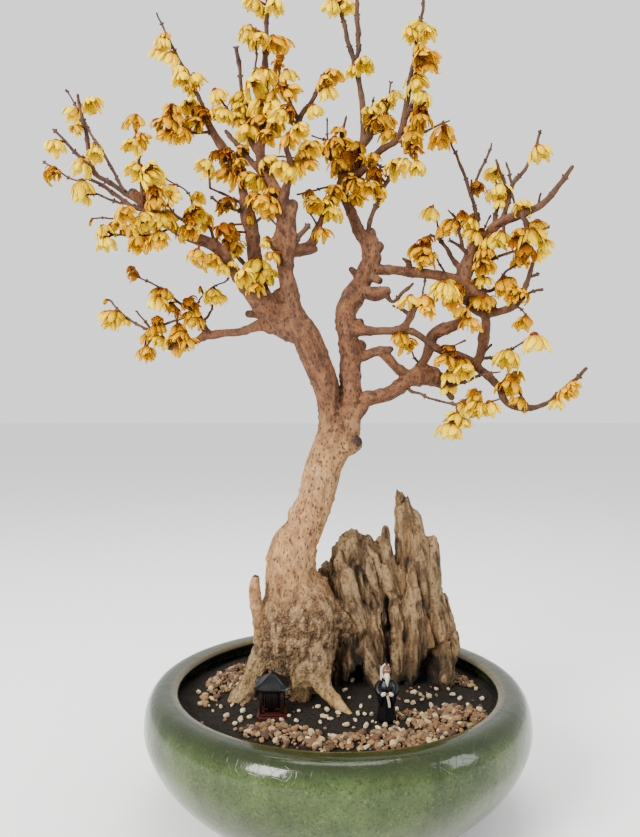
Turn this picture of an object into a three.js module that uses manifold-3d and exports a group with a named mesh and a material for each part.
// A wintersweet bonsai in flower: an old rootstock with a dead, weathered stump on its right side, two
// leaders, bare twigs and hanging yellow blooms, planted in a round glazed bulb bowl. Grit, a glazed
// miniature figure of an elder and a glazed miniature pavilion lie or stand on the soil.
// Millimetres, +Z up, +Y away from the viewer. The origin is the centre of the pot's foot.

import * as THREE from 'three';
import { mergeVertices } from 'three/addons/utils/BufferGeometryUtils.js';
import Module from 'manifold-3d';

const wasm = await Module();
wasm.setup();

// Pot
const potHeight = 122;
const potRadius = 187.8;
const potWidestHeight = 88.5;
const rimCrestRadius = 168.8;
const rimInnerRadius = 155.5;
const rimDrop = 9;
const shoulderRoundness = 2.33;
const bellyRoundness = 1.62;
const footRadius = 88;
const footRingWidth = 10;
const footHeight = 5;
const centrePadRadius = 18;
const wall = 9;
const floorTop = 15;
const heelHeight = 28;
const heelWidth = 30;
const insideLag = 2;
const potSides = 32;
const drainHoleRadius = 8;
const drainHoleCircle = 46;
const drainHoleCount = 3;
const screenRadius = 14;
const screenThickness = 1.2;
const screenSides = 16;

// Soil
const soilEdgeHeight = 104;
const soilDome = 6;
const soilSideHeight = 100;
const gap = 0.3;

// Measuring frame for everything that grows or stands in the pot. It hangs in the plane of the pot's
// axis: x is counted from its left upright, drops are counted down from its top bar. What stands in
// front of or behind that plane is carried along the sight line of a viewer at eye height.
const frameLeft = -337;
const frameTop = 800;
const eye = new THREE.Vector3(-17, -725, 381.5);

function placed(x, drop, depth) {
  const nearness = (depth - eye.y) / -eye.y;
  return new THREE.Vector3(
    eye.x + (frameLeft + x - eye.x) * nearness,
    depth,
    eye.z + (frameTop - drop - eye.z) * nearness,
  );
}

// Colours
const glaze = { color: 0x5f7346, roughness: 0.18 };
const earth = { color: 0x2a221a, roughness: 1 };
const bark = { color: 0xa98a6c, roughness: 0.85 };
const grit = { color: 0xc9ad86, roughness: 0.9 };
const plasticNet = { color: 0x23282b, roughness: 0.7 };
const darkGlaze = { color: 0x10131c, roughness: 0.15 };
const roofGlaze = { color: 0x1a1d2b, roughness: 0.2 };
const petal = { color: 0xf0c634, roughness: 0.5 };

// Solids
function solidOf(geometry) {
  const bare = geometry.clone();
  bare.deleteAttribute('normal');
  bare.deleteAttribute('uv');
  const merged = mergeVertices(bare, 1e-4);
  return new wasm.Manifold(new wasm.Mesh({
    numProp: 3,
    vertProperties: new Float32Array(merged.attributes.position.array),
    triVerts: new Uint32Array(merged.index.array),
  }));
}

function geometryOf(solid) {
  const mesh = solid.getMesh();
  const geometry = new THREE.BufferGeometry();
  geometry.setAttribute('position', new THREE.BufferAttribute(new Float32Array(mesh.vertProperties), 3));
  geometry.setIndex(new THREE.BufferAttribute(new Uint32Array(mesh.triVerts), 1));
  geometry.computeVertexNormals();
  return geometry;
}

function joined(solids) {
  return solids.slice(1).reduce((sum, next) => sum.add(next), solids[0]);
}

const bonsai = new THREE.Group();

function add(name, solid, finish) {
  const material = new THREE.MeshStandardMaterial({ metalness: 0, ...finish });
  const mesh = new THREE.Mesh(geometryOf(solid), material);
  mesh.name = name;
  bonsai.add(mesh);
}

function sidesFor(radius) {
  if (radius > 20) return 10;
  if (radius > 9) return 8;
  if (radius > 4.2) return 6;
  if (radius > 2.4) return 5;
  return radius > 1.6 ? 4 : 3;
}

// A cylinder bent along a line of stations, each with its own radius. The flattening is the ratio of
// its depth to its width.
function bent(stations, grow = 0, flattening = 1) {
  const centres = stations.map(([x, drop, depth]) => placed(x, drop, depth));
  const radii = stations.map(([, , depth, radius]) => radius * (depth - eye.y) / -eye.y + grow);
  const last = stations.length - 1;
  const tangents = centres.map((_, i) => centres[Math.min(i + 1, last)].clone()
    .sub(centres[Math.max(i - 1, 0)]).normalize());
  centres[0].addScaledVector(tangents[0], -grow);
  centres[last].addScaledVector(tangents[last], grow);
  const sides = sidesFor(Math.max(...radii) - grow);
  const geometry = new THREE.CylinderGeometry(1, 1, last, sides, last);
  const run = centres[last].clone().sub(centres[0]).normalize();
  const across = Math.abs(run.y) < 0.8 ? new THREE.Vector3(0, -1, 0) : new THREE.Vector3(0, 0, 1);
  const position = geometry.attributes.position;
  for (let i = 0; i < position.count; i += 1) {
    const station = Math.round(position.getY(i) + last / 2);
    const front = across.clone()
      .addScaledVector(tangents[station], -across.dot(tangents[station])).normalize();
    const side = new THREE.Vector3().crossVectors(tangents[station], front);
    const point = centres[station].clone()
      .addScaledVector(side, position.getX(i) * radii[station])
      .addScaledVector(front, position.getZ(i) * radii[station] * flattening);
    position.setXYZ(i, point.x, point.y, point.z);
  }
  return solidOf(geometry);
}

// Pot: one lathe profile, from the middle of the underside out, up the wall, over the rim and back
// along the inside. The shoulder and the belly are quarter superellipses.
function bellyRadius(height) {
  if (height > potWidestHeight) {
    const up = (height - potWidestHeight) / (potHeight - potWidestHeight);
    return rimCrestRadius
      + (potRadius - rimCrestRadius) * (1 - up ** shoulderRoundness) ** (1 / shoulderRoundness);
  }
  const down = (potWidestHeight - height) / potWidestHeight;
  return footRadius + (potRadius - footRadius) * (1 - down ** bellyRoundness) ** (1 / bellyRoundness);
}

function insideRadius(height) {
  return bellyRadius(Math.max(height - insideLag, 0)) - wall;
}

function latheOf(profile) {
  const points = profile.map(([radius, height]) => new THREE.Vector2(radius, height));
  const geometry = new THREE.LatheGeometry(points, potSides);
  geometry.rotateX(Math.PI / 2);
  return solidOf(geometry);
}

function ring(count, make) {
  return Array.from({ length: count }, (_, i) => {
    const angle = (i + 0.5) * 2 * Math.PI / count;
    return make(Math.cos(angle), Math.sin(angle));
  });
}

function upright(radius, height, x, y, bottom, sides) {
  const geometry = new THREE.CylinderGeometry(radius, radius, height, sides);
  geometry.rotateX(Math.PI / 2);
  geometry.translate(x, y, bottom + height / 2);
  return solidOf(geometry);
}

const wallHeights = [10, 28, 50, 70, potWidestHeight, 104, 115];
const insideHeights = [soilSideHeight, 64, heelHeight];
const potProfile = [
  [0, 0],
  [centrePadRadius, 0],
  [centrePadRadius + 2, footHeight],
  [footRadius - footRingWidth - 2, footHeight],
  [footRadius - footRingWidth, 0],
  [footRadius, 0],
  ...wallHeights.map((height) => [bellyRadius(height), height]),
  [rimCrestRadius, potHeight],
  [rimInnerRadius + 6, potHeight - 0.4],
  [rimInnerRadius + 1.2, potHeight - 1.8],
  [rimInnerRadius, potHeight - 4],
  [rimInnerRadius + 3, potHeight - rimDrop],
  ...insideHeights.map((height) => [insideRadius(height), height]),
  [insideRadius(heelHeight) - heelWidth, floorTop],
  [0, floorTop],
];
const drainHoles = ring(drainHoleCount, (x, y) => upright(
  drainHoleRadius, floorTop + 4, x * drainHoleCircle, y * drainHoleCircle, -2, 12));
add('pot', latheOf(potProfile).subtract(joined(drainHoles)), glaze);

// Plastic net over each drain hole, under the soil
ring(drainHoleCount, (x, y) => [x * drainHoleCircle, y * drainHoleCircle]).forEach(([x, y], i) => {
  const net = upright(screenRadius, screenThickness, x, y, floorTop + gap, screenSides);
  add(`drain_screen_${i + 1}`, net, plasticNet);
});
const screenSpaces = ring(drainHoleCount, (x, y) => upright(
  screenRadius + gap, screenThickness + 3 * gap, x * drainHoleCircle, y * drainHoleCircle,
  floorTop - gap, screenSides));

// Wood: the rootstock, its roots, the trunk and every limb and twig grew as one piece.
// Stations are [x, drop, depth, radius], from the thick end to the tip.
const limbs = [
  // bole and trunk
  [[303, 735, 24, 20], [299, 640, 15, 39], [299, 615, 14, 40], [292, 578, 12, 27], [292, 560, 12, 25],
    [303, 530, 12, 19], [315, 500, 12, 17], [338, 430, 12, 20], [341, 396, 12, 18]],
  // shoulder towards the dead stump
  [[312, 622, 14, 30], [332, 618, 18, 21], [350, 624, 26, 15]],
  // sawn knob and swelling on the trunk's right side
  [[334, 446, 10, 14], [350, 445, 2, 10], [356, 442, -5, 7]],
  [[350, 412, 10, 13], [361, 408, 8, 8], [366, 401, 8, 5]],
  // broken stub at the foot, on the left
  [[266, 645, 8, 11], [257, 622, -2, 9], [254, 602, -8, 8.5], [255, 587, -10, 6], [258, 573, -10, 1.5]],
  // roots, left to right, then two behind
  [[272, 642, 8, 16], [259, 664, 2, 11], [248, 684, -8, 9], [240, 700, -15, 11], [229, 706, -20, 5]],
  [[296, 662, -12, 6], [296, 688, -20, 4], [288, 716, -34, 2]],
  [[305, 662, -10, 14], [302, 708, -27, 5]],
  [[314, 648, -8, 16], [316, 670, -20, 13], [323, 687, -30, 9], [358, 725, -62, 3]],
  [[285, 640, 40, 22], [262, 668, 62, 12], [226, 698, 92, 3]],
  [[318, 640, 44, 22], [330, 668, 74, 12], [338, 684, 98, 6], [344, 690, 112, 3]],
  // left leader and its main stem
  [[335, 410, 12, 12], [305, 335, -4, 13], [290, 298, -11, 10], [286, 269, -18, 8], [286, 244, -22, 12],
    [287, 217, -26, 9], [293, 205, -27, 5]],
  [[286, 299, -11, 7], [278, 295, -11, 6]],
  [[284, 247, -22, 9], [275, 243, -24, 7.5]],
  // stem tip that carries the highest left blooms
  [[284, 222, -25, 7], [282, 208, -28, 6], [291, 172, -38, 3.6], [286, 147, -43, 3],
    [303, 112, -50, 2.6], [311, 102, -52, 2.3], [325, 73, -56, 1.5], [330, 69, -56, 1.2]],
  [[299, 122, -48, 2], [279, 82, -55, 1.4], [279, 71, -56, 1.2]],
  [[290, 250, -20, 7], [302, 250, -14, 5.6], [312, 243, -8, 4.8], [324, 215, 0, 3.2], [334, 198, 4, 2.4]],
  [[303, 251, -14, 5], [315, 249, -11, 3.6]],
  [[293, 246, -24, 3.6], [309, 224, -33, 2.3]],
  // long shoot in the middle of the left crown
  [[283, 212, -24, 6.5], [275, 190, -14, 6], [261, 163, -4, 5], [260, 150, 0, 5], [266, 95, 6, 3.2],
    [265, 62, 8, 3.2], [269, -18, 10, 1.6]],
  [[260, 156, -2, 3.4], [252, 143, 8, 3.2], [249, 125, 12, 4], [242, 92, 15, 2], [236, 48, 15, 1.7]],
  [[263, 112, 3, 1.6], [256, 96, -2, 1.2], [256, 28, -8, 0.9]],
  [[265, 176, -6, 3.2], [254, 165, 2, 2.9], [226, 131, 17, 2]],
  [[262, 156, 0, 1.2], [303, 158, -30, 0.8]],
  // dark limb behind it, ending in the far left shoot
  [[266, 302, -8, 9], [259, 283, 2, 8], [255, 262, 8, 7], [252, 232, 12, 7.5], [248, 218, 14, 8.5],
    [243, 190, 18, 4.4], [240, 177, 20, 4.5], [234, 165, 22, 4.5], [212, 131, 22, 4], [190, 78, 22, 1.8],
    [172, 46, 20, 1.3], [157, 13, 18, 0.9]],
  [[212, 132, 21, 1.8], [187, 132, 6, 1.1], [172, 124, -2, 0.9]],
  [[248, 128, 11, 1.4], [233, 118, 4, 1.2], [225, 106, 0, 0.9]],
  [[241, 203, 16, 1.7], [210, 188, 1, 1.1]],
  [[242, 212, 14, 1.6], [222, 205, 5, 1.2], [210, 197, -1, 1]],
  [[256, 222, 10, 1.8], [263, 216, 5, 1.2]],
  [[254, 268, 8, 2.6], [246, 265, -2, 2.3], [229, 249, -22, 1.6]],
  // low left limb that runs out to the far left twigs
  [[296, 328, -2, 12], [264, 304, -15, 11], [236, 273, -34, 6.8], [221, 252, -44, 6.5],
    [213, 245, -48, 6.5], [186, 236, -60, 4.6], [176, 230, -65, 4], [142, 203, -78, 4.5],
    [136, 199, -80, 3.5], [97, 175, -88, 2.4], [92, 167, -89, 2.4], [78, 95, -93, 1.5]],
  [[142, 201, -80, 4.5], [133, 193, -83, 5]],
  [[93, 171, -88, 2], [53, 129, -78, 1.2]],
  [[128, 195, -82, 1.9], [90, 132, -64, 1.2], [66, 90, -55, 0.8]],
  [[150, 212, -76, 2.6], [130, 204, -72, 2.3], [88, 177, -54, 1.4]],
  [[90, 178, -55, 1.2], [75, 181, -50, 1], [43, 161, -42, 0.8]],
  [[145, 206, -78, 2], [139, 165, -95, 1.6], [134, 114, -108, 1.1]],
  [[160, 220, -72, 1.3], [138, 222, -84, 1], [120, 218, -94, 0.9], [92, 219, -106, 0.8]],
  [[172, 228, -66, 1.4], [150, 235, -58, 1], [112, 235, -42, 0.9]],
  [[202, 240, -53, 3.4], [188, 222, -68, 2.2], [177, 216, -76, 1.4], [166, 205, -86, 0.8]],
  [[216, 246, -47, 2.2], [207, 223, -38, 1.2]],
  [[198, 234, -57, 1.4], [193, 215, -50, 1], [191, 198, -46, 0.9], [165, 178, -38, 0.8]],
  // thin arm on the left
  [[302, 334, 0, 12], [272, 325, 12, 9], [261, 325, 16, 6.5], [240, 332, 26, 4], [205, 336, 42, 4.8],
    [186, 346, 50, 3], [169, 348, 57, 2.3]],
  [[270, 319, 10, 6], [256, 314, 8, 4.6], [248, 314, 6, 4]],
  [[208, 335, 40, 4], [203, 326, 38, 3.5], [193, 311, 30, 2.8], [180, 304, 22, 1.5], [163, 289, 13, 1.1],
    [140, 278, 3, 0.8]],
  [[200, 318, 34, 1.8], [190, 317, 40, 1.4], [168, 323, 55, 1.2], [150, 329, 64, 1.4],
    [131, 321, 76, 1.2], [109, 300, 90, 0.8]],
  [[202, 323, 37, 1.7], [212, 310, 46, 1]],
  [[196, 313, 32, 1.2], [200, 300, 24, 0.9], [229, 278, 0, 0.8]],
  [[186, 346, 51, 1.3], [142, 336, 76, 0.8]],
  // right leader, with its swellings
  [[345, 412, 12, 12], [350, 396, 13, 10], [351, 352, 18, 11], [347, 337, 20, 9.2], [346, 310, 24, 10.6],
    [363, 280, 28, 9], [371, 259, 28, 8.5], [371, 248, 27, 9.5], [360, 233, 25, 6.6],
    [345, 197, 22, 5.5], [342, 187, 21, 6], [345, 176, 20, 5.6]],
  [[352, 354, 20, 8], [361, 345, 21, 5]],
  [[352, 327, 22, 7], [361, 322, 20, 4.5]],
  [[372, 252, 27, 8], [380, 246, 26, 6]],
  [[370, 243, 26, 6], [371, 232, 25, 4.6]],
  [[361, 278, 26, 5.5], [351, 269, 20, 3]],
  [[370, 276, 26, 5], [380, 281, 18, 3.4]],
  // upper right crown
  [[347, 176, 20, 5.4], [358, 174, 16, 4.5], [381, 150, 4, 3.5], [396, 141, -4, 3], [401, 132, -7, 3.7],
    [416, 48, -19, 1.9], [426, -14, -24, 1.2]],
  [[355, 173, 18, 3.8], [363, 136, 29, 3.2], [363, 110, 36, 3], [359, 82, 40, 2.5], [337, -10, 52, 1.5]],
  [[355, 66, 42, 2.2], [358, 50, 40, 2.3], [357, -16, 36, 1.5]],
  [[361, 148, 25, 3.2], [370, 134, 22, 3.6], [371, 108, 18, 1], [374, 97, 16, 0.8]],
  [[370, 134, 22, 2.6], [381, 131, 17, 2], [394, 138, 10, 1.8]],
  [[381, 131, 17, 1.6], [386, 116, 14, 1.2], [391, 83, 8, 0.8]],
  [[403, 122, -9, 2.6], [416, 97, -22, 1.5]],
  [[410, 110, -16, 1.7], [420, 109, -22, 1.4], [427, 100, -28, 1]],
  [[401, 135, -6, 2], [412, 136, -14, 1.5], [449, 121, -38, 0.9]],
  [[399, 139, -5, 1.7], [406, 148, -12, 1.4], [414, 153, -18, 1.2]],
  [[366, 240, 25, 3.2], [375, 207, 16, 2.3], [397, 164, 0, 1.2]],
  [[372, 161, 9, 1.6], [384, 167, -2, 1.1], [392, 162, -8, 0.9], [415, 163, -20, 0.8]],
  [[345, 178, 20, 4.2], [342, 165, 25, 3], [344, 150, 29, 2.6], [342, 134, 33, 2], [346, 117, 36, 0.8]],
  [[343, 178, 21, 2.2], [329, 158, 34, 1.4], [324, 155, 37, 1.1]],
  [[343, 144, 29, 1.5], [312, 136, 14, 0.8]],
  [[342, 186, 20, 2.2], [330, 187, 10, 1.3], [297, 194, -12, 1]],
  [[349, 176, 18, 3.4], [376, 195, -5, 1.3]],
  // level right limb
  [[369, 267, 28, 9], [380, 270, 30, 5.6], [392, 270, 34, 4.7], [428, 274, 46, 4.7], [460, 281, 57, 5.6],
    [476, 294, 62, 5], [485, 297, 64, 4], [495, 308, 63, 2.4]],
  [[462, 283, 57, 7], [466, 270, 56, 8], [474, 247, 52, 5.6], [482, 239, 48, 5], [503, 221, 36, 4.8],
    [540, 206, 16, 3.3], [547, 200, 12, 3], [572, 167, -7, 2]],
  [[538, 207, 17, 1.6], [541, 194, 14, 0.9]],
  [[502, 222, 36, 3.2], [508, 204, 40, 2.1], [513, 184, 44, 2.4], [525, 170, 48, 1.8],
    [541, 130, 56, 1.2]],
  [[510, 194, 42, 1.8], [496, 160, 26, 1.2]],
  [[493, 229, 42, 2.8], [499, 198, 52, 1.4], [495, 178, 57, 0.8]],
  [[475, 248, 52, 2.6], [477, 234, 46, 2], [473, 200, 36, 1.9], [450, 140, 19, 1]],
  [[465, 275, 57, 4.4], [438, 238, 77, 1.6], [431, 235, 82, 1.2], [414, 252, 90, 0.9]],
  [[472, 258, 54, 2.8], [449, 240, 38, 1.2]],
  [[441, 242, 75, 1.4], [438, 226, 70, 1], [433, 205, 60, 0.8]],
  [[463, 250, 48, 1.9], [458, 222, 40, 1.4], [448, 210, 32, 0.8]],
  [[410, 272, 39, 2.6], [408, 262, 33, 2.5], [403, 258, 30, 1.2]],
  [[421, 274, 43, 1.6], [423, 258, 36, 1.3], [431, 234, 24, 0.9]],
  [[474, 264, 53, 2.8], [486, 261, 50, 2], [504, 254, 36, 1.5], [530, 249, 16, 1]],
  [[470, 289, 60, 3.2], [478, 291, 66, 2], [488, 291, 70, 1.9], [497, 286, 74, 1.8], [506, 271, 78, 1.3],
    [521, 264, 82, 1]],
  [[522, 215, 26, 2.8], [528, 232, 15, 1.8], [548, 228, 5, 0.8]],
  [[503, 223, 35, 1.6], [506, 236, 28, 1.2], [516, 246, 20, 1]],
  // lower right limb, the stem that drops from it and the limb's upturned end
  [[463, 288, 59, 3.4], [466, 300, 64, 2.8], [472, 309, 66, 3], [480, 313, 66, 3.8], [492, 313, 64, 4],
    [505, 310, 60, 4], [514, 306, 57, 4], [520, 300, 55, 3.2], [533, 262, 48, 2]],
  [[530, 277, 50, 1.7], [539, 273, 46, 1.2]],
  [[521, 299, 54, 2.2], [536, 290, 43, 1.3], [542, 289, 38, 1.8]],
  [[514, 306, 56, 1.5], [522, 309, 48, 0.9], [526, 314, 42, 0.8]],
  [[484, 312, 65, 4.2], [486, 322, 62, 5], [483, 345, 52, 5], [477, 366, 42, 4.6], [500, 389, 28, 3.5],
    [507, 403, 18, 3], [513, 407, 12, 2.6], [530, 408, -2, 3], [545, 404, -14, 2], [586, 369, -45, 1.8]],
  [[480, 358, 45, 1.8], [490, 358, 38, 1.4], [508, 351, 22, 1.2], [532, 335, 2, 0.8]],
  [[529, 408, -1, 1.6], [519, 393, 10, 1]],
  [[440, 278, 50, 1.7], [448, 287, 44, 1.4], [470, 309, 65, 1.6]],
  // looped limbs low on the right
  [[352, 402, 12, 9], [376, 397, 14, 7.3], [388, 394, 18, 7.3], [407, 381, 28, 7], [429, 376, 36, 10.5],
    [438, 380, 40, 8], [444, 386, 42, 4.5], [457, 402, 45, 1.8]],
  [[412, 379, 34, 6], [426, 357, 31, 4.6], [432, 337, 25, 5.8], [450, 327, 19, 6], [469, 316, 13, 3.6]],
  [[444, 386, 42, 2.6], [455, 385, 36, 1.8], [500, 371, 8, 0.8]],
  [[405, 383, 27, 3], [410, 391, 20, 1.8], [419, 394, 10, 1.4], [445, 403, -6, 1.2],
    [457, 405, -13, 1.4], [458, 414, -17, 1]],
  [[456, 405, -13, 1.3], [472, 408, -20, 1], [500, 398, -40, 0.9]],
  [[352, 357, 18, 8], [364, 356, 18, 5.6], [384, 351, 13, 5], [391, 349, 11, 3.4]],
  [[383, 352, 13, 5], [396, 367, 21, 4.5], [413, 378, 32, 5.2]],
  [[348, 328, 21, 9], [370, 331, 14, 4.4], [397, 330, 2, 3.7], [404, 327, -2, 3.8], [411, 315, -10, 4.6],
    [414, 309, -14, 3], [442, 297, -27, 1.1]],
  [[410, 315, -10, 3], [393, 306, -1, 1.1]],
  [[402, 329, -1, 3.8], [413, 332, 2, 3.5], [443, 351, 19, 4.3], [478, 364, 43, 4.2]],
  [[360, 290, 26, 8], [378, 294, 19, 6.3], [387, 291, 16, 4.6]],
  [[385, 293, 17, 3.4], [392, 301, 14, 1.9], [413, 283, 0, 1.3]],
  [[442, 351, 19, 1.6], [450, 347, 8, 1], [466, 340, -4, 0.9]],
];

// Dead stump: upright tongues of wood that have weathered apart at the top, each deeper than wide
const stumpFlattening = 1.45;
const stumpTongues = [
  [[334, 704, 46, 12], [332, 640, 48, 15], [329, 600, 48, 12], [327, 562, 46, 7]],
  [[346, 712, 34, 14], [350, 640, 36, 20], [350, 575, 38, 19], [350, 545, 38, 15], [349, 531, 38, 10]],
  [[372, 712, 38, 15], [374, 640, 38, 19], [370, 575, 38, 16], [367, 550, 36, 12], [366, 535, 35, 8]],
  [[392, 708, 40, 16], [394, 640, 40, 19], [391, 585, 40, 12], [381, 556, 38, 8], [377, 543, 38, 5]],
  [[386, 600, 30, 8], [387, 560, 26, 6], [386, 540, 25, 4.4], [386, 528, 25, 2.4]],
  [[408, 712, 44, 14], [409, 650, 46, 21], [411, 590, 46, 19], [411, 545, 46, 15], [404, 512, 46, 9.5],
    [398, 492, 46, 3]],
  [[424, 640, 46, 17], [428, 590, 46, 12], [430, 555, 46, 9], [432, 541, 46, 5]],
  [[436, 700, 40, 14], [440, 660, 42, 14], [438, 615, 44, 11], [434, 580, 44, 6]],
  [[444, 700, 14, 4], [446, 672, 20, 8], [449, 645, 26, 8], [452, 629, 28, 3.6]],
];
const stumpHollow = [[425, 710, 6, 14], [426, 684, 10, 14], [427, 660, 18, 9]];

function woodSolid(grow) {
  const grown = limbs.map((stations) => bent(stations, grow));
  const tongues = stumpTongues.map((stations) => bent(stations, grow, stumpFlattening));
  return joined([...grown, ...tongues]).subtract(bent(stumpHollow, -grow));
}

const wood = woodSolid(0);
const woodSpace = woodSolid(gap);
add('tree_wood', wood, bark);

// Soil, domed up to the trunk
function soilTop(radius) {
  return soilEdgeHeight + soilDome * (1 - (radius / rimInnerRadius) ** 2);
}

const soilEdgeRadius = insideRadius(soilSideHeight) - gap;
const soilLipRadius = rimInnerRadius + 6;
const soilProfile = [
  [0, floorTop + gap],
  [insideRadius(heelHeight) - heelWidth - gap, floorTop + gap],
  ...[heelHeight, 64].map((height) => [insideRadius(height) - gap, height]),
  [soilEdgeRadius, soilSideHeight],
  [soilLipRadius, soilTop(soilLipRadius)],
  [80, soilTop(80)],
  [0, soilTop(0)],
];
const soil = latheOf(soilProfile);
const soilSpace = soil.translate([0, 0, gap]);
add('soil', soil.subtract(joined(screenSpaces)).subtract(woodSpace), earth);

// Grit: beds of angular stones that lie packed together on the soil. Each bed is [x, y] of its middle,
// its half length and half width, the turn of its length from +X in degrees, and its number of stones.
const stoneSize = 8;
const bedHeight = 3.5;
const bedDepth = 12;
const gritBeds = {
  grit_left: [-114, 30, 28, 18, 84, 10],
  grit_front_left: [-46, -94, 32, 12, 164, 10],
  grit_front: [42, -107, 38, 12, 3, 12],
  grit_right: [115, -52, 32, 15, 50, 12],
  grit_back_right: [126, 40, 24, 10, 118, 6],
};

// A stone is an eight-sided lump with unequal axes, sunk by a third into the bed.
function stone(x, y, size, turn) {
  const geometry = new THREE.OctahedronGeometry(size * 0.62);
  geometry.scale(1.15, 0.85, 0.8);
  geometry.rotateZ(turn);
  geometry.rotateX(0.5 * Math.sin(turn * 3));
  geometry.translate(x, y, soilTop(Math.hypot(x, y)) + size * 0.3);
  return solidOf(geometry);
}

function gritBed([x, y, length, width, degrees, count], number) {
  const turn = degrees * Math.PI / 180;
  const outline = new THREE.Shape();
  outline.absellipse(0, 0, length, width, 0, 2 * Math.PI);
  const rise = { depth: bedDepth, bevelEnabled: false, curveSegments: 7 };
  const slab = new THREE.ExtrudeGeometry(outline, rise);
  slab.rotateZ(turn);
  slab.translate(x, y, soilTop(Math.hypot(x, y)) + bedHeight - bedDepth);
  const goldenAngle = Math.PI * (3 - Math.sqrt(5));
  const stones = Array.from({ length: count }, (_, i) => {
    const reach = Math.sqrt((i + 0.6) / count) * 0.92;
    const angle = i * goldenAngle + number;
    const along = length * reach * Math.cos(angle);
    const across = width * reach * Math.sin(angle);
    return stone(
      x + along * Math.cos(turn) - across * Math.sin(turn),
      y + along * Math.sin(turn) + across * Math.cos(turn),
      stoneSize * (1 + 0.25 * Math.sin(5 * i)), angle * 1.7);
  });
  return joined([solidOf(slab), ...stones]).subtract(soilSpace);
}

const potSpace = latheOf(potProfile.map(([radius, height]) => [Math.max(radius - gap, 0), height]));
Object.entries(gritBeds).forEach(([name, bed], number) => {
  add(name, gritBed(bed, number).subtract(woodSpace).subtract(potSpace), grit);
});

// Miniature elder: glazed in one piece, robe, sleeves, head, hair and beard
const elderAt = new THREE.Vector3(43, -70, 0);
const elderHeight = 53;

function lump(x, y, z, radiusX, radiusY, radiusZ, turnY = 0) {
  const geometry = new THREE.SphereGeometry(1, 7, 5);
  geometry.rotateX(Math.PI / 2);
  geometry.scale(radiusX, radiusY, radiusZ);
  geometry.rotateY(turnY);
  geometry.translate(x, y, z);
  return solidOf(geometry);
}

function turned(profile, sides) {
  const points = profile.map(([radius, height]) => new THREE.Vector2(radius, height));
  const geometry = new THREE.LatheGeometry(points, sides);
  geometry.rotateX(Math.PI / 2);
  return solidOf(geometry);
}

function elder() {
  const h = elderHeight;
  const robe = turned([[0, -2], [0.16 * h, -2], [0.155 * h, 0.06 * h], [0.13 * h, 0.35 * h],
    [0.15 * h, 0.6 * h], [0.12 * h, 0.7 * h], [0.05 * h, 0.77 * h], [0, 0.78 * h]], 12);
  const head = lump(0, -0.005 * h, 0.88 * h, 0.075 * h, 0.085 * h, 0.105 * h);
  const nose = lump(0, -0.09 * h, 0.875 * h, 0.012 * h, 0.016 * h, 0.022 * h);
  const hair = lump(-0.012 * h, 0.03 * h, 0.87 * h, 0.1 * h, 0.075 * h, 0.13 * h);
  const beard = lump(0.005 * h, -0.075 * h, 0.76 * h, 0.045 * h, 0.04 * h, 0.095 * h);
  const sleeves = [-1, 1].map((side) => lump(
    side * 0.1 * h, -0.06 * h, 0.58 * h, 0.095 * h, 0.075 * h, 0.1 * h, side * 0.5));
  const hands = lump(0, -0.13 * h, 0.56 * h, 0.05 * h, 0.035 * h, 0.03 * h);
  const sash = lump(0.03 * h, -0.13 * h, 0.42 * h, 0.03 * h, 0.025 * h, 0.11 * h, -0.2);
  return joined([robe, head, nose, hair, beard, hands, sash, ...sleeves]);
}

// Miniature pavilion: glazed in one piece, a base, four posts round a solid middle and a hipped roof
// with upturned corners
const pavilionAt = new THREE.Vector3(-61, -54, 0);
const pavilionHeight = 42;
const pavilionWidth = 31;

function block(width, depth, height, x, y, bottom) {
  const geometry = new THREE.BoxGeometry(width, depth, height);
  geometry.translate(x, y, bottom + height / 2);
  return solidOf(geometry);
}

function pavilion() {
  const h = pavilionHeight;
  const w = pavilionWidth;
  const eaves = 0.62 * h;
  const posts = [-1, 1].flatMap((sx) => [-1, 1].map((sy) => block(
    0.1 * w, 0.1 * w, 0.56 * h, sx * 0.32 * w, sy * 0.32 * w, 0.1 * h)));
  const roof = new THREE.LatheGeometry([
    [0, eaves], [0.7 * w, eaves + 1], [0.72 * w, eaves + 3], [0.36 * w, 0.76 * h], [0.14 * w, 0.88 * h],
    [0.05 * w, 0.93 * h], [0.06 * w, 0.97 * h], [0, h]].map(([r, z]) => new THREE.Vector2(r, z)), 4);
  roof.rotateX(Math.PI / 2);
  roof.rotateZ(Math.PI / 4);
  return joined([
    block(0.9 * w, 0.9 * w, 0.12 * h + 2, 0, 0, -2), block(0.42 * w, 0.42 * w, 0.56 * h, 0, 0, 0.1 * h),
    solidOf(roof), ...posts]);
}

function standing(solid, at) {
  const ground = soilTop(Math.hypot(at.x, at.y));
  return solid.translate([at.x, at.y, ground]).subtract(soilSpace).subtract(woodSpace);
}

add('miniature_elder', standing(elder(), elderAt), darkGlaze);
add('miniature_pavilion', standing(pavilion(), pavilionAt), roofGlaze);

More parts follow.
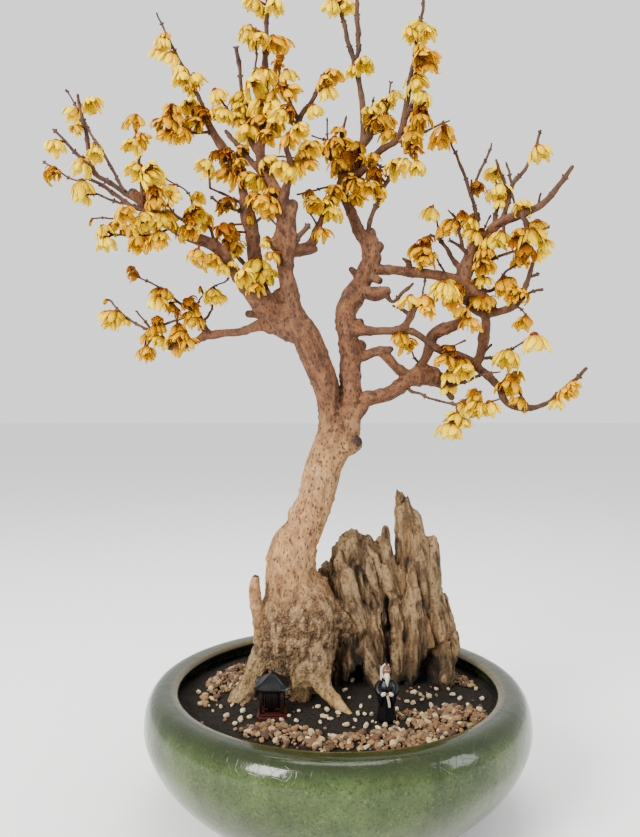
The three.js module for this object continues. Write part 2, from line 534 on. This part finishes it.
// Blooms: each group sits on one twig and is listed as [x, drop, radius] of its flowers' middles.
// A flower hangs from the nearest point of the wood as a bell with a hollow mouth.
const blooms = {
  bloom_far_left_tip: [[73, 115, 9], [92, 107, 9], [78, 129, 7]],
  bloom_left_fork: [[82, 172, 10], [83, 190, 11], [97, 155, 8]],
  bloom_left_upright: [[135, 122, 8], [132, 147, 9], [132, 171, 9], [152, 174, 11]],
  bloom_left_upper_spray: [[125, 214, 10], [134, 230, 9]],
  bloom_left_lower_spray: [[105, 234, 9], [140, 245, 11]],
  bloom_left_mass: [[155, 205, 10], [145, 222, 11], [160, 238, 8], [170, 193, 9], [198, 198, 7]],
  bloom_left_inner_mass: [[195, 213, 9], [190, 234, 9], [225, 233, 11]],
  bloom_left_underside: [[197, 257, 10], [212, 262, 9], [222, 270, 7]],
  bloom_high_left_mass: [[165, 127, 11], [184, 135, 9], [190, 107, 9], [196, 126, 8], [218, 98, 9],
    [225, 117, 9]],
  bloom_high_left_stem: [[205, 168, 10], [215, 157, 8], [225, 179, 10], [240, 172, 8]],
  bloom_far_left_shoot: [[163, 46, 8], [170, 60, 9], [182, 80, 10]],
  bloom_long_shoot_top: [[253, 5, 8], [275, 9, 9]],
  bloom_long_shoot: [[258, 42, 9], [275, 45, 10]],
  bloom_crown_left: [[270, 78, 10], [255, 88, 11], [240, 100, 9]],
  bloom_crown_middle: [[260, 110, 11], [275, 129, 10], [248, 133, 10]],
  bloom_crown_spur: [[278, 66, 7], [288, 78, 9], [275, 97, 9], [287, 112, 9]],
  bloom_crown_stem: [[290, 142, 10]],
  bloom_crown_tip: [[325, 85, 9], [315, 112, 8]],
  bloom_inner_left: [[270, 165, 10], [293, 175, 9], [246, 180, 9], [243, 166, 7]],
  bloom_inner_ochre: [[265, 205, 11], [250, 220, 6]],
  bloom_inner_bright: [[258, 270, 13], [255, 291, 8], [273, 259, 7], [237, 249, 8]],
  bloom_middle_twig: [[312, 205, 9], [335, 195, 9], [332, 215, 9], [322, 235, 8]],
  bloom_right_shoot_top: [[330, 8, 9], [346, 7, 8]],
  bloom_far_right_shoot: [[415, 30, 10], [425, 60, 11], [417, 88, 10], [420, 123, 9]],
  bloom_right_spur: [[395, 97, 7], [372, 115, 9], [385, 122, 9], [390, 138, 9]],
  bloom_right_mass: [[341, 133, 7], [335, 146, 9], [350, 161, 11]],
  bloom_right_inner: [[372, 160, 8], [375, 175, 9], [359, 188, 10], [380, 195, 8]],
  bloom_right_outer: [[412, 140, 10], [397, 168, 10], [417, 168, 8]],
  bloom_mid_right_tips: [[430, 215, 9], [447, 230, 10], [462, 218, 8], [472, 238, 10]],
  bloom_fork_mass: [[492, 245, 11], [485, 268, 10], [483, 283, 8]],
  bloom_fork_upper: [[495, 175, 8], [500, 193, 10], [523, 208, 9]],
  bloom_far_right_mass: [[533, 238, 11], [543, 255, 8]],
  bloom_lower_right: [[507, 288, 11], [480, 305, 10]],
  bloom_right_middle: [[445, 293, 12], [410, 303, 9], [425, 303, 9]],
  bloom_loop_mass: [[445, 362, 9], [466, 372, 10], [450, 378, 9]],
  bloom_far_right_low: [[535, 345, 13], [507, 360, 12]],
  bloom_low_stem: [[510, 388, 10], [518, 405, 9], [557, 405, 7], [570, 395, 9]],
  bloom_right_low_mass: [[450, 432, 11], [465, 425, 8], [478, 410, 10]],
  bloom_arm_tip: [[165, 297, 9]],
  bloom_arm_far_tip: [[105, 302, 5], [115, 318, 9]],
  bloom_arm_middle: [[192, 318, 10], [182, 338, 9], [213, 300, 9], [157, 332, 9], [147, 352, 8]],
  bloom_right_knob: [[400, 340, 8], [408, 346, 9]],
  bloom_limb_spur: [[425, 243, 7], [422, 255, 10]],
  bloom_inner_twig: [[311, 150, 10], [308, 168, 9]],
  bloom_far_right_tip: [[540, 155, 11]],
  bloom_fork_pair: [[463, 315, 9], [470, 325, 9]],
  bloom_right_twig_tip: [[444, 135, 11]],
};
const bellSides = 5;
const apexLift = 0.5;
const tieRadius = 2.6;
const touching = 0.72;

// The place on the wood nearest to a flower, measured in the frame's plane to the bark, then moved up
// along the twig so that the flower hangs from it
function nearestWood(x, drop, lift) {
  let best = { distance: Infinity };
  limbs.forEach((stations) => stations.slice(1).forEach((end, i) => {
    const start = stations[i];
    const runX = end[0] - start[0];
    const runDrop = end[1] - start[1];
    const share = THREE.MathUtils.clamp(
      ((x - start[0]) * runX + (drop - start[1]) * runDrop) / (runX ** 2 + runDrop ** 2), 0, 1);
    const distance = Math.hypot(x - start[0] - share * runX, drop - start[1] - share * runDrop)
      - THREE.MathUtils.lerp(start[3], end[3], share);
    if (distance < best.distance) {
      const climb = Math.sign(runDrop) * lift / Math.hypot(runX, runDrop);
      best = { distance, start, end, share: THREE.MathUtils.clamp(share - climb, 0, 1) };
    }
  }));
  const at = best.start.map((value, i) => THREE.MathUtils.lerp(value, best.end[i], best.share));
  return { x: at[0], drop: at[1], depth: at[2], radius: at[3] };
}

// A bell: its apex in the wood, a shoulder, a wider mouth and a hollow inside the mouth
function bell(apex, middle, radius) {
  const axis = middle.clone().sub(apex).normalize();
  const across = new THREE.Vector3(0, 1, 0).cross(axis).normalize();
  const up = new THREE.Vector3().crossVectors(axis, across);
  const geometry = new THREE.ConeGeometry(1, 1, bellSides, 2);
  const position = geometry.attributes.position;
  const rings = [
    { at: middle.clone().addScaledVector(axis, 0.75 * radius), radius },
    { at: middle.clone().addScaledVector(axis, -0.4 * radius), radius: 0.8 * radius },
    { at: apex, radius: 0 },
  ];
  const hollow = middle.clone().addScaledVector(axis, 0.15 * radius);
  for (let i = 0; i < position.count; i += 1) {
    const level = Math.round((position.getY(i) + 0.5) * 2);
    const spread = Math.hypot(position.getX(i), position.getZ(i));
    const point = level === 0 && spread < 0.1 ? hollow.clone() : rings[level].at.clone();
    if (spread > 0.1) {
      point.addScaledVector(across, position.getX(i) / spread * rings[level].radius);
      point.addScaledVector(up, position.getZ(i) / spread * rings[level].radius);
    }
    position.setXYZ(i, point.x, point.y, point.z);
  }
  return solidOf(geometry);
}

function rod(from, to, radius) {
  const run = to.clone().sub(from);
  const geometry = new THREE.CylinderGeometry(radius, radius, run.length(), 3);
  geometry.applyQuaternion(new THREE.Quaternion().setFromUnitVectors(
    new THREE.Vector3(0, 1, 0), run.clone().normalize()));
  const halfway = from.clone().add(to).multiplyScalar(0.5);
  geometry.translate(halfway.x, halfway.y, halfway.z);
  return solidOf(geometry);
}

// A flower's middle lies in front of its twig, so that the twig only trims the back of the bell. The
// flowers of a group come forward to the foremost of them, up to a short way, so that they touch.
const forwardReach = 22;
const apexClearance = 1.2 * gap;

function flowersOf(list) {
  const hosts = list.map(([x, drop, radius]) => {
    const wood = nearestWood(x, drop, apexLift * radius);
    return { wood, depth: wood.depth - wood.radius - radius - 2 * gap };
  });
  const foremost = Math.min(...hosts.map(({ depth }) => depth));
  return list.map(([x, drop, radius], i) => {
    const { wood, depth } = hosts[i];
    return {
      radius,
      apex: placed(wood.x, wood.drop, wood.depth - wood.radius - apexClearance),
      middle: placed(x, drop, Math.max(foremost, depth - forwardReach)),
    };
  });
}

// The bells of a group. Taken one by one, each is the nearest to those before it, and is tied to that
// neighbour by a spur where the two bells don't run into each other.
function bloomGroup(list, grow) {
  const flowers = flowersOf(list);
  const bells = flowers.map(({ apex, middle, radius }) => bell(apex, middle, radius + grow));
  const tied = [flowers[0]];
  const loose = flowers.slice(1);
  const ties = [];
  while (loose.length > 0) {
    const pairs = loose.flatMap((one) => tied.map((other) => (
      { one, other, length: one.middle.distanceTo(other.middle) })));
    const { one, other } = pairs.reduce((a, b) => (b.length < a.length ? b : a));
    if (one.middle.distanceTo(other.middle) > touching * (one.radius + other.radius)) {
      ties.push(rod(one.middle, other.middle, tieRadius + grow));
    }
    tied.push(...loose.splice(loose.indexOf(one), 1));
  }
  return joined([...bells, ...ties]);
}

let taken = woodSpace;
Object.entries(blooms).forEach(([name, list]) => {
  const pieces = bloomGroup(list, 0).subtract(taken).decompose();
  pieces.sort((a, b) => b.volume() - a.volume());
  add(name, pieces[0], petal);
  taken = taken.add(bloomGroup(list, gap));
});

export default bonsai;
